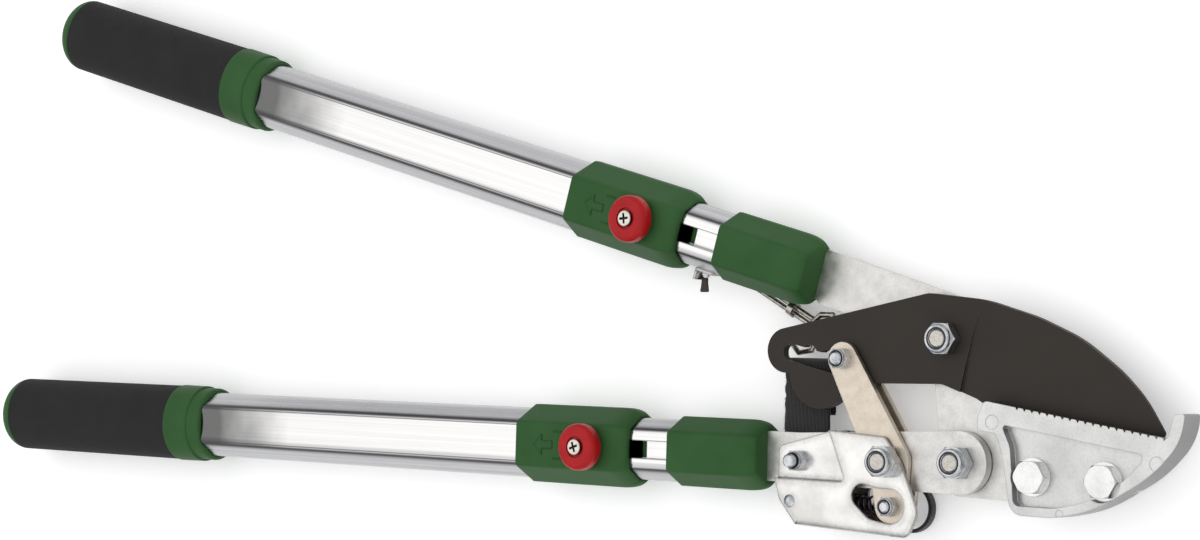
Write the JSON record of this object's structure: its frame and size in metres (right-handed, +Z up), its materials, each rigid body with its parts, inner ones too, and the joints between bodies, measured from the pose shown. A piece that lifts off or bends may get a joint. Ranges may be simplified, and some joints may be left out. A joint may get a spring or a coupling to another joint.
{
  "type": "ratchet anvil loppers",
  "caption": "Long-handled loppers whose ratchet-driven blade closes onto a toothed anvil, with telescopic handles locked by spring knobs and a strap that holds them shut.",
  "frame": {"origin": "under the middle of the whole tool's bounding box, on the plane it lies on", "axes": "+X along the lower handle towards the jaw, +Y across the tool towards the upper handle, +Z up through the pivots"},
  "size_m": [0.7194, 0.2612, 0.0423],
  "materials": {
    "arm_plate": "galvanised, faintly mottled",
    "anvil": "die cast, fine grainy satin",
    "fastener": "bright zinc plate",
    "blade": "satin non-stick coating",
    "cover": "bright pressed sheet",
    "link": "warm zinc plate, satin",
    "wire": "bright drawn wire",
    "spring": "dark oiled spring steel",
    "webbing": "plain black webbing",
    "tab": "dull black",
    "shell": "satin moulded, fine grain",
    "tube": "polished, drawn lengthwise",
    "knob": "smooth moulded",
    "screw": "bright",
    "foam": "fine matte foam"
  },
  "bodies": {
    "upper_frame": {"upper_arm_plate": "arm_plate", "anvil": "anvil", "anvil_bolts": "fastener", "anvil_nuts": "fastener", "anvil_washers": "fastener", "jaw_pivot_bolt": "fastener", "jaw_pivot_nut": "fastener", "arm_pivot_bolt": "fastener", "arm_pivot_nut": "fastener", "closing_rod": "wire", "catch_bracket": "cover", "catch_rivet": "fastener", "catch_tab": "tab", "upper_ferrule": "shell", "upper_inner_tube": "tube"},
    "blade_body": {"blade": "blade"},
    "lower_frame": {"lower_arm_plate": "arm_plate", "front_cover": "cover", "rear_cover": "cover", "link_pivot_bolt": "fastener", "link_pivot_nut": "fastener", "cover_bolt": "fastener", "cover_nut": "fastener", "spring_rivet": "fastener", "pawl_spring": "spring", "strap": "webbing", "strap_ring": "wire", "strap_loop": "webbing", "lower_ferrule": "shell", "lower_inner_tube": "tube"},
    "link_body": {"front_link": "link", "rear_link": "link", "link_pin": "fastener", "link_pin_nut": "fastener", "tail_bolt": "fastener", "tail_nut": "fastener", "tail_spacer": "fastener"},
    "lower_slider": {"lower_outer_tube": "tube", "lower_lock_housing": "shell", "lower_grip": "foam", "lower_end_cap": "shell", "lower_grip_collar": "shell", "lower_lock_spring": "spring"},
    "lower_button": {"lower_lock_knob": "knob", "lower_knob_screw": "screw", "lower_lock_pin": "screw"},
    "upper_slider": {"upper_outer_tube": "tube", "upper_lock_housing": "shell", "upper_grip": "foam", "upper_end_cap": "shell", "upper_grip_collar": "shell", "upper_lock_spring": "spring"},
    "upper_button": {"upper_lock_knob": "knob", "upper_knob_screw": "screw", "upper_lock_pin": "screw"}
  },
  "joints": [
    {"name": "handle_hinge", "type": "hinge", "parent": "upper_frame", "child": "lower_frame", "pos_m": [0.25506, -0.09767, 0.0163], "axis": [0, 0, 1], "range_deg": [0, 38]},
    {"name": "blade_hinge", "type": "hinge", "parent": "upper_frame", "child": "blade_body", "pos_m": [0.24716, -0.04567, 0.0163], "axis": [0, 0, 1], "range_deg": [-0.1, 25.1]},
    {"name": "link_hinge", "type": "hinge", "parent": "lower_frame", "child": "link_body", "pos_m": [0.22226, -0.09867, 0.0163], "axis": [0, 0, 1], "range_deg": [-39.9, 0.1], "deforming": ["pawl_spring"]},
    {"name": "lower_telescope", "type": "slide", "parent": "lower_frame", "child": "lower_slider", "axis": [-1, 0, 0], "range_m": [0, 0.26]},
    {"name": "lower_button_pull", "type": "slide", "parent": "lower_slider", "child": "lower_button", "axis": [0, 0, 1], "range_m": [0, 0.0022], "stiffness_N_per_m": 800, "springref_m": -0.004, "deforming": ["lower_lock_spring"]},
    {"name": "upper_telescope", "type": "slide", "parent": "upper_frame", "child": "upper_slider", "axis": [-0.9662, 0.2576, 0], "range_m": [0, 0.26]},
    {"name": "upper_button_pull", "type": "slide", "parent": "upper_slider", "child": "upper_button", "axis": [0, 0, 1], "range_m": [0, 0.0022], "stiffness_N_per_m": 800, "springref_m": -0.004, "deforming": ["upper_lock_spring"]}
  ],
  "couplings": [
    {"joint": "blade_hinge", "follows": "handle_hinge", "ratio": 0.656},
    {"joint": "link_hinge", "follows": "handle_hinge", "ratio": -1.045}
  ]
}
